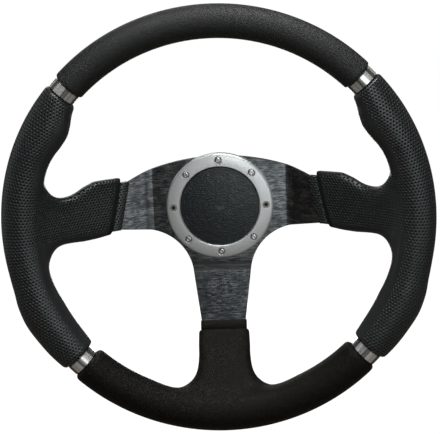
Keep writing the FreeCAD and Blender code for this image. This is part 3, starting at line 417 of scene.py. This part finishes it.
# the bottom grip's copy of the grain is warmer and darker, with a warm specular tint: painted warm light from
# below and painted shade
LOW_GRAINED_PAINTED_WARMTH = grained_moulding("grip_grained_low_painted_warmth", cell=1.6 * MM, depth=0.26 * MM, light=0.009, dark=0.001,
                               rough=0.3, warm=0.2, specular=0.13, tint=(1, 0.97, 0.92, 1))
CAP_GRAINED = grained_moulding("cap_grained", cell=1.6 * MM, depth=0.14 * MM, light=0.022, dark=0.002,
                               rough=0.21, warm=-0.16, specular=0.5, stretch=2.4, tint=(0.88, 0.98, 1, 1))

# Finishes of the solids that stay, by words in their names
FINISHES = {"_band": polished_band(), "ring_screw": turned_metal("screw_steel", 0.55, 0.12),
            "flush_screw": dulled_steel(), "hub_bolt": turned_metal("bolt_dark", 0.12, 0.35),
            "spoke_plate": brushed_anodising(), "trim_ring": satin_ring(), "centre_cap": CAP_GRAINED,
            "hub_boss": turned_metal("boss_anodised", 0.07, 0.34, 0.03 * MM),
            "rim_core": turned_metal("core_alloy", 0.5, 0.4)}
for name in nodes:
    for words, material in FINISHES.items():
        if words in name:
            for slot in nodes[name].material_slots:
                slot.material = material


# Meshes

def through(at, table):
    """A smooth curve through (place, value) pairs that never overshoots them."""
    xs, ys = np.array(table, float).T
    slopes = np.diff(ys) / np.diff(xs)
    inner = np.where(slopes[1:] * slopes[:-1] > 0,
                     2 * slopes[1:] * slopes[:-1] / (slopes[1:] + slopes[:-1] + 1e-12), 0)
    tangents = np.concatenate([slopes[:1], inner, slopes[-1:]])
    at = np.clip(np.asarray(at, float), xs[0], xs[-1])
    piece = np.clip(np.searchsorted(xs, at) - 1, 0, len(xs) - 2)
    width = xs[piece + 1] - xs[piece]
    t = (at - xs[piece]) / width
    return ((2 * t ** 3 - 3 * t ** 2 + 1) * ys[piece] + (t ** 3 - 2 * t ** 2 + t) * width * tangents[piece]
            + (3 * t ** 2 - 2 * t ** 3) * ys[piece + 1] + (t ** 3 - t ** 2) * width * tangents[piece + 1])


def loop_skin(loops):
    """Points and faces of a closed skin over loops of points, capped at both ends."""
    loops = np.asarray(loops)
    count, around = loops.shape[:2]
    ids = np.arange(count * around).reshape(count, around)
    following = np.roll(ids, -1, axis=1)
    quads = np.stack([ids[:-1], following[:-1], following[1:], ids[1:]], axis=-1).reshape(-1, 4)
    faces = [tuple(int(i) for i in quad) for quad in quads]
    faces.append(tuple(int(i) for i in ids[0][::-1]))
    faces.append(tuple(int(i) for i in ids[-1]))
    return loops.reshape(-1, 3), faces


def merged(skins):
    """Several skins as one list of points and one of faces."""
    points, faces, base = [], [], 0
    for skin_points, skin_faces in skins:
        points.append(skin_points)
        faces += [tuple(i + base for i in face) for face in skin_faces]
        base += len(skin_points)
    return np.concatenate(points), faces


def new_mesh(name, points, faces):
    mesh = bpy.data.meshes.new(name)
    mesh.from_pydata([tuple(point) for point in points], [], faces)
    mesh.validate()
    mesh.update()
    return mesh


def new_piece(name, points, faces, material):
    """A smooth piece on the wheel that stands for the solid of its name."""
    mesh = new_mesh(name, points, faces)
    mesh.polygons.foreach_set("use_smooth", [True] * len(mesh.polygons))
    mesh.materials.append(material)
    piece = bpy.data.objects.new(name, mesh)
    bpy.context.scene.collection.objects.link(piece)
    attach(piece, "root")
    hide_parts(name.replace("_skin", ""))


def rounding(edge, steps=6):
    """Distances from an end and how far the skin draws in there, for a rounded edge."""
    bends = np.linspace(0, math.pi / 2, steps)
    return edge * (1 - np.cos(bends)), edge * (1 - np.sin(bends))


LOOPS_PER_DEGREE = 1.4


def rim_skin(start, end, outer, inner, depth, edge, around=72):
    """A swelling tube along the rim between two angles in degrees, rounded off at its ends by edge.

    outer, inner and depth give radii and front-to-back depth in mm for angles in degrees.
    """
    near, drawn = rounding(edge)
    near_turn = np.degrees(near / RIM_R)
    count = int(abs(end - start) * LOOPS_PER_DEGREE)
    between = np.linspace(start + near_turn[-1], end - near_turn[-1], count)[1:-1]
    angles = np.concatenate([start + near_turn, between, (end - near_turn)[::-1]])
    inset = np.concatenate([drawn, np.zeros(len(between)), drawn[::-1]])
    out = through(angles, outer) * MM - inset
    into = through(angles, inner) * MM + inset
    deep = through(angles, depth) * MM / 2 - inset
    turn = np.linspace(0, 2 * math.pi, around, endpoint=False)
    middle, half = (out + into) / 2, (out - into) / 2
    radius = middle[:, None] + half[:, None] * np.cos(turn)
    level = RIM_Y - deep[:, None] * np.sin(turn)
    theta = np.radians(angles)[:, None]
    return loop_skin(np.stack([radius * np.cos(theta), level, radius * np.sin(theta)], axis=-1))


def oval(high, low, half, around, square):
    """A flattened loop between two heights, with half its thickness; square above 2 flattens its sides."""
    turn = np.linspace(0, 2 * math.pi, around, endpoint=False)
    power = 2 / square
    up = np.sign(np.sin(turn)) * np.abs(np.sin(turn)) ** power
    front = np.sign(np.cos(turn)) * np.abs(np.cos(turn)) ** power
    return (high + low) / 2 + up * (high - low) / 2, front * half


# Voxel size of a moulded grip and how often its junctions are smoothed; the first few go over all of it
VOXEL, PASSES = ((0.85 * MM, 210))
EVEN_PASSES = 6


def moulded(skins, blend):
    """One even skin over overlapping closed skins, smoothed, and more so where blend says."""
    mesh = new_mesh("rough", *merged(skins))
    piece = bpy.data.objects.new("rough", mesh)
    bpy.context.scene.collection.objects.link(piece)
    remesh = piece.modifiers.new("remesh", "REMESH")
    remesh.mode = "VOXEL"
    remesh.voxel_size = VOXEL
    result = bpy.data.meshes.new_from_object(piece.evaluated_get(bpy.context.evaluated_depsgraph_get()))
    bpy.data.objects.remove(piece)
    count = len(result.vertices)
    points = np.empty(count * 3)
    result.vertices.foreach_get("co", points)
    points = points.reshape(-1, 3)
    edges = np.empty(len(result.edges) * 2, int)
    result.edges.foreach_get("vertices", edges)
    edges = edges.reshape(-1, 2)
    ends = np.concatenate([edges[:, 0], edges[:, 1]])
    others = np.concatenate([edges[:, 1], edges[:, 0]])
    valence = np.bincount(ends, minlength=count)[:, None]
    weight = blend(points)[:, None]
    for step in range(PASSES):
        averages = np.stack([np.bincount(ends, points[others, k], count) for k in range(3)], 1) / valence
        points += (averages - points) * 0.5 * (weight if step >= EVEN_PASSES else 1)
    faces = [tuple(polygon.vertices) for polygon in result.polygons]
    for used in (mesh, result):
        bpy.data.meshes.remove(used)
    return points, faces


# The smoothed zone of a junction: its middle is inside the rim's, and it fades out over these lengths
ZONE_IN = 16 * MM
ZONE_FADE, ZONE_SIDE_FADE = 22 * MM, 14 * MM
ZONE_STRENGTH = 1.4
SIDEWAYS, UPRIGHT = 0, 2    # the columns of x and z


def round_junction(sideways, reach):
    """A weight for points: 1 where a boot runs into the rim, 0 away from it.

    sideways is the axis across the spoke, and reach how far the weight goes along it.
    """
    def weight(points):
        across = np.hypot(points[:, 0], points[:, 2])
        away = np.abs(across - (RIM_R - ZONE_IN)) / ZONE_FADE
        beside = np.clip((reach - np.abs(points[:, sideways])) / ZONE_SIDE_FADE, 0, 1)
        return np.clip(ZONE_STRENGTH - away, 0, 1) * beside
    return weight


# Boots and cuffs: the lip's rounding in mm, points round a section, and how square the sections are
LIP_EDGE = 1.5
BOOT_POINTS, BOOT_SQUARE = 96, 3.4
CUFF_POINTS, CUFF_SQUARE = 64, 9.0
# Half a cuff's thickness, and its sections: how far from the lip, and how far drawn in, in mm
CUFF_HALF = 3.15
CUFF_STEPS = [(-8.2, 0.5), (-8.05, 0.15), (-7.7, 0.0), (2.0, 0.0)]


def boot_stations(lip, bend, slope, count):
    """Distances in mm along a spoke from a boot's lip to the rim's middle, each with its inset."""
    near, drawn = rounding(LIP_EDGE, 5)
    end = (RIM_R - bend) / math.cos(slope) / MM
    stations = np.concatenate([lip / MM + near, np.linspace(lip / MM + near[-1], end, count)[1:]])
    return zip(stations, np.concatenate([drawn, np.zeros(count - 1)]))


# Side grips: angles and rounding of their ends, then radii and depths by the angle

SIDE_START, SIDE_END = -42.36, 41.36
SIDE_ROUND = 2.6 * MM
SIDE_OUTER = [(-42.4, 176.0), (-37, 177.6), (-32, 178.5), (-27, 179.4), (-22, 178.4), (-17, 176.2),
              (-11, 175.4), (0, 175.3), (12, 175.3), (30, 175.2), (41.4, 174.8)]
SIDE_INNER = [(-42.4, 144.6), (-36, 143.2), (-28, 142.8), (0, 142.8), (18, 142.7), (24, 141.4),
              (28, 139.3), (31.5, 138.5), (35, 140.6), (38.5, 144.6), (41.4, 147.2)]
SIDE_DEPTH = [(-42.4, 29.5), (-30, 31), (0, 31), (30, 31), (37, 29.6), (41.4, 27.6)]
# The boot's top and bottom by the distance from the axis, then its thickness and how far its sections
# have turned from the lip's slant to upright, by the distance along the spoke
SIDE_TOP = [(70, 28.3), (84, 28.7), (99.5, 28.8), (109, 25.6), (120.6, 20.6), (128.3, 19.8),
            (134.5, 22.4), (139, 28.5), (143, 38), (148, 46)]
SIDE_BOTTOM = [(80, -17.6), (93.5, -18.3), (105.6, -19.5), (121, -19.9), (131, -20.4), (136, -22.8),
               (140, -29), (143.5, -39), (148, -46)]
SIDE_THICK = [(33, 7.4), (34.2, 8.4), (36, 9.5), (38.5, 10.9), (41, 11.8), (44, 12.2), (50, 12.6),
              (63, 13.6), (82, 16.8), (100, 21.0), (114, 23.6), (124, 23.6)]
SIDE_UPRIGHT = [(33, 0), (45, 0.08), (73, 0.85), (86, 1.0), (130, 1.0)]
SIDE_CUFF_TOP, SIDE_CUFF_BOTTOM = 24.4, -15.6
SIDE_LOOPS = 60
SIDE_ZONE = 62 * MM


def side_point(along, up, off):
    """A point by its place along a side spoke from the bend, its height and its offset to the front."""
    cos, sin = math.cos(SIDE_SLOPE), math.sin(SIDE_SLOPE)
    return np.stack([SIDE_BEND + along * cos - off * sin,
                     PLATE_MID - along * sin - off * cos,
                     up + 0 * along], axis=-1)


def side_edge(table, along, lean, up):
    """Height in mm at which a leaning section of the boot meets its top or bottom, from a first guess."""
    for _ in range(4):
        forward = along - (up - LIP_MIDDLE / MM) * lean
        up = float(through(SIDE_BEND / MM + forward * math.cos(SIDE_SLOPE), table))
    return up


def side_boot():
    """The boot from its slanted lip to the middle of the rim."""
    loops = []
    for along, inset in boot_stations(SIDE_LIP, SIDE_BEND, SIDE_SLOPE, SIDE_LOOPS):
        lean = LIP_SLANT * float(1 - through(along, SIDE_UPRIGHT))
        high = side_edge(SIDE_TOP, along, lean, 20.0) - inset
        low = side_edge(SIDE_BOTTOM, along, lean, -20.0) + inset
        half = float(through(along, SIDE_THICK)) / 2 - inset
        up, off = oval(high, low, half, BOOT_POINTS, BOOT_SQUARE)
        shift = along - (up - LIP_MIDDLE / MM) * lean
        loops.append(side_point(shift * MM, up * MM, off * MM))
    return loop_skin(loops)


def side_cuff():
    """The thin cuff on the plate ahead of the boot."""
    loops = []
    for ahead, inset in CUFF_STEPS:
        up, off = oval(SIDE_CUFF_TOP - inset, SIDE_CUFF_BOTTOM + inset, CUFF_HALF - inset,
                       CUFF_POINTS, CUFF_SQUARE)
        shift = SIDE_LIP / MM + ahead - (up - LIP_MIDDLE / MM) * LIP_SLANT
        loops.append(side_point(shift * MM, up * MM, off * MM))
    return loop_skin(loops)


skins = [rim_skin(SIDE_START, SIDE_END, SIDE_OUTER, SIDE_INNER, SIDE_DEPTH, SIDE_ROUND), side_boot()]
points, faces = merged([moulded(skins, round_junction(UPRIGHT, SIDE_ZONE)), side_cuff()])
new_piece("right_grip_skin", points, faces, DIMPLED)
mirrored = points * np.array([-1, 1, 1])
new_piece("left_grip_skin", mirrored, [face[::-1] for face in faces], DIMPLED)


# Bottom grip, in the same way; half its boot's width by the distance from the axis

LOW_START, LOW_END = -134.36, -45.64
LOW_ROUND = 3.4 * MM
LOW_OUTER = [(-135, 175.6), (-110, 175.7), (-90, 175.75), (-70, 175.7), (-45, 175.6)]
LOW_INNER = [(-135, 144.4), (-112, 144.2), (-90, 144.0), (-68, 144.2), (-45, 144.4)]
LOW_DEPTH = [(-135, 29.6), (-90, 30.4), (-45, 29.6)]
LOW_HALF = [(98, 21.0), (112, 21.4), (119, 21.9), (129.5, 23.7), (135, 26.2), (139, 30.5), (143, 38),
            (147, 45), (165, 45)]
LOW_THICK = [(57, 11.0), (70, 12.6), (88, 16.2), (104, 20.6), (118, 23.4), (130, 23.6)]
LOW_CUFF_SIDE = 19.2
LOW_LOOPS = 52
LOW_ZONE = 60 * MM


def low_point(along, right, off):
    """A point by its place along the lower spoke from the bend, and its offsets to the right and front."""
    cos, sin = math.cos(LOW_SLOPE), math.sin(LOW_SLOPE)
    return np.stack([right + 0 * along, PLATE_MID - along * sin - off * cos,
                     -LOW_BEND - along * cos + off * sin], axis=-1)


def low_boot():
    """The boot from its level lip to the middle of the rim."""
    loops = []
    for along, inset in boot_stations(LOW_LIP, LOW_BEND, LOW_SLOPE, LOW_LOOPS):
        half = float(through(LOW_BEND / MM + along * math.cos(LOW_SLOPE), LOW_HALF)) - inset
        thick = float(through(along, LOW_THICK)) / 2 - inset
        right, off = oval(half, -half, thick, BOOT_POINTS, BOOT_SQUARE)
        loops.append(low_point(np.full(BOOT_POINTS, along) * MM, right * MM, off * MM))
    return loop_skin(loops)


def low_cuff():
    """The thin cuff above it."""
    loops = []
    for ahead, inset in CUFF_STEPS:
        side = LOW_CUFF_SIDE - inset
        right, off = oval(side, -side, CUFF_HALF - inset, CUFF_POINTS, CUFF_SQUARE)
        loops.append(low_point(np.full(CUFF_POINTS, LOW_LIP / MM + ahead) * MM, right * MM, off * MM))
    return loop_skin(loops)


skins = [rim_skin(LOW_START, LOW_END, LOW_OUTER, LOW_INNER, LOW_DEPTH, LOW_ROUND), low_boot()]
points, faces = merged([moulded(skins, round_junction(SIDEWAYS, LOW_ZONE)), low_cuff()])
# the bottom grip gets the grain copy with painted warm light and painted shade
new_piece("bottom_grip_skin", points, faces, LOW_GRAINED_PAINTED_WARMTH)


# Top grip, a plain sleeve

TOP_START, TOP_END = 44.64, 135.36
TOP_ROUND = 2.2 * MM
TOP_POINTS = 96
TOP_OUTER = [(44, 174.8), (60, 175.0), (90, 175.0), (120, 175.0), (136, 174.8)]
TOP_INNER = [(44, 147.8), (90, 147.6), (136, 147.8)]
TOP_DEPTH = [(44, 27.3), (136, 27.3)]
points, faces = rim_skin(TOP_START, TOP_END, TOP_OUTER, TOP_INNER, TOP_DEPTH, TOP_ROUND, TOP_POINTS)
new_piece("top_grip_skin", points, faces, GRAINED)


# Floor and the light all round

FLOOR_DROP = 0.42
FLOOR_REACH = 14.0
WHITE = (1, 1, 1, 1)


def seen_white(finish, dim):
    """White for the lens, and a dim colour for the light that falls on the wheel."""
    return finish.mix(finish.node("ShaderNodeLightPath").outputs["Is Camera Ray"], dim, WHITE)


level = cad_box[0].z - FLOOR_DROP
corners = [(-FLOOR_REACH, -FLOOR_REACH, level), (FLOOR_REACH, -FLOOR_REACH, level),
           (FLOOR_REACH, FLOOR_REACH, level), (-FLOOR_REACH, FLOOR_REACH, level)]
floor = bpy.data.objects.new("floor", new_mesh("floor", corners, [(0, 1, 2, 3)]))
bpy.context.scene.collection.objects.link(floor)

pale = Finish("floor_pale", Roughness=0.9, Emission_Strength=1.0)
dust = pale.noise(pale.vector(*pale.place()), 3.0)
floor.data.materials.append(pale.feed(Base_Color=pale.mix(dust, grey(0.055, 0.3), grey(0.065, 0.3)),
                                      Emission_Color=seen_white(pale, (0.07, 0.066, 0.062, 1))))

studio = Air("studio")
studio.feed(Color=seen_white(studio, grey(0.12)), Strength=1.0)


# Lamps

def softbox(name, place, aim, width, height, power, colour=(1.0, 1.0, 1.0)):
    light = bpy.data.lights.new(name, "AREA")
    light.shape = "RECTANGLE"
    light.size = width
    light.size_y = height
    light.energy = power
    light.color = colour
    lamp = bpy.data.objects.new(name, light)
    bpy.context.scene.collection.objects.link(lamp)
    lamp.location = place
    lamp.visible_camera = False
    lamp.rotation_mode = "QUATERNION"
    lamp.rotation_quaternion = (Vector(aim) - Vector(place)).to_track_quat("-Z", "Y")


HUB = (0.0, -0.06, 0.0)
COOL = (0.95, 1.0, 1.0)
# The first is a wide sheet straight ahead of the wheel's right side; the others are aimed at the hub
softbox("window", (0.98, -2.2, 0.385), (0.98, 0.0, 0.385), 2.04, 1.83, 14.1, (0.94, 1.0, 1.0))
softbox("high_window", (0.43, -1.98, 0.87), HUB, 0.9, 0.5, 3.8, (0.96, 1.0, 0.98))
softbox("front", (0.14, -1.67, 0.27), HUB, 0.16, 0.08, 1.0)
softbox("high", (0.25, -1.62, 1.85), HUB, 0.5, 0.5, 0.66, COOL)
softbox("side", (1.335, -0.935, -0.3), HUB, 0.92, 0.4, 0.82, COOL)
softbox("overhead", (0.1, -0.2, 0.78), HUB, 0.8, 0.3, 6.6, (0.97, 1.0, 0.97))
softbox("key", (0.62, -0.8, 1.1), HUB, 0.14, 0.14, 1.4)
softbox("high_left", (-0.7, -0.9, 1.3), HUB, 0.6, 0.4, 4.6, COOL)
softbox("left", (-1.6, 0.35, 0.2), HUB, 1.2, 1.4, 1.9, COOL)
softbox("behind_left", (-0.5, 2.0, 0.9), HUB, 0.9, 0.9, 4.5)
softbox("behind", (-0.05, 2.0, -0.42), HUB, 0.5, 0.5, 4.0)

bpy.context.scene.view_settings.view_transform = "Standard"


# Lens, as fitted to the photograph: angles in degrees, focal length and centre in its pixels

PHOTO_W, PHOTO_H = 440, 434
AZIMUTH, ELEVATION, ROLL = 1.55, 11.92, 2.36
DISTANCE = 1.5
FOCAL_PX = 1863.6
CENTRE_PX = (218.4, 221.2)
SENSOR_MM = 36

camera_data = bpy.data.cameras.new("camera")
camera = bpy.data.objects.new("camera", camera_data)
bpy.context.scene.collection.objects.link(camera)
bpy.context.scene.camera = camera
azimuth, elevation, roll = (math.radians(angle) for angle in (AZIMUTH, ELEVATION, ROLL))
back = Vector((math.sin(azimuth) * math.cos(elevation), -math.cos(azimuth) * math.cos(elevation),
               math.sin(elevation)))
right = (-back).cross(Vector((0, 0, 1))).normalized()
up = right.cross(-back)
rolled_right = right * math.cos(roll) - up * math.sin(roll)
rolled_up = right * math.sin(roll) + up * math.cos(roll)
turned = Matrix((rolled_right, rolled_up, back)).transposed().to_4x4()
camera.matrix_world = Matrix.Translation(back * DISTANCE + Vector((0, RIM_Y, 0))) @ turned
camera_data.sensor_width = SENSOR_MM
camera_data.lens = FOCAL_PX * SENSOR_MM / PHOTO_W
camera_data.shift_x = (PHOTO_W / 2 - CENTRE_PX[0]) / PHOTO_W
camera_data.shift_y = (CENTRE_PX[1] - PHOTO_H / 2) / PHOTO_W
camera_data.clip_end = 60

bpy.context.view_layer.update()
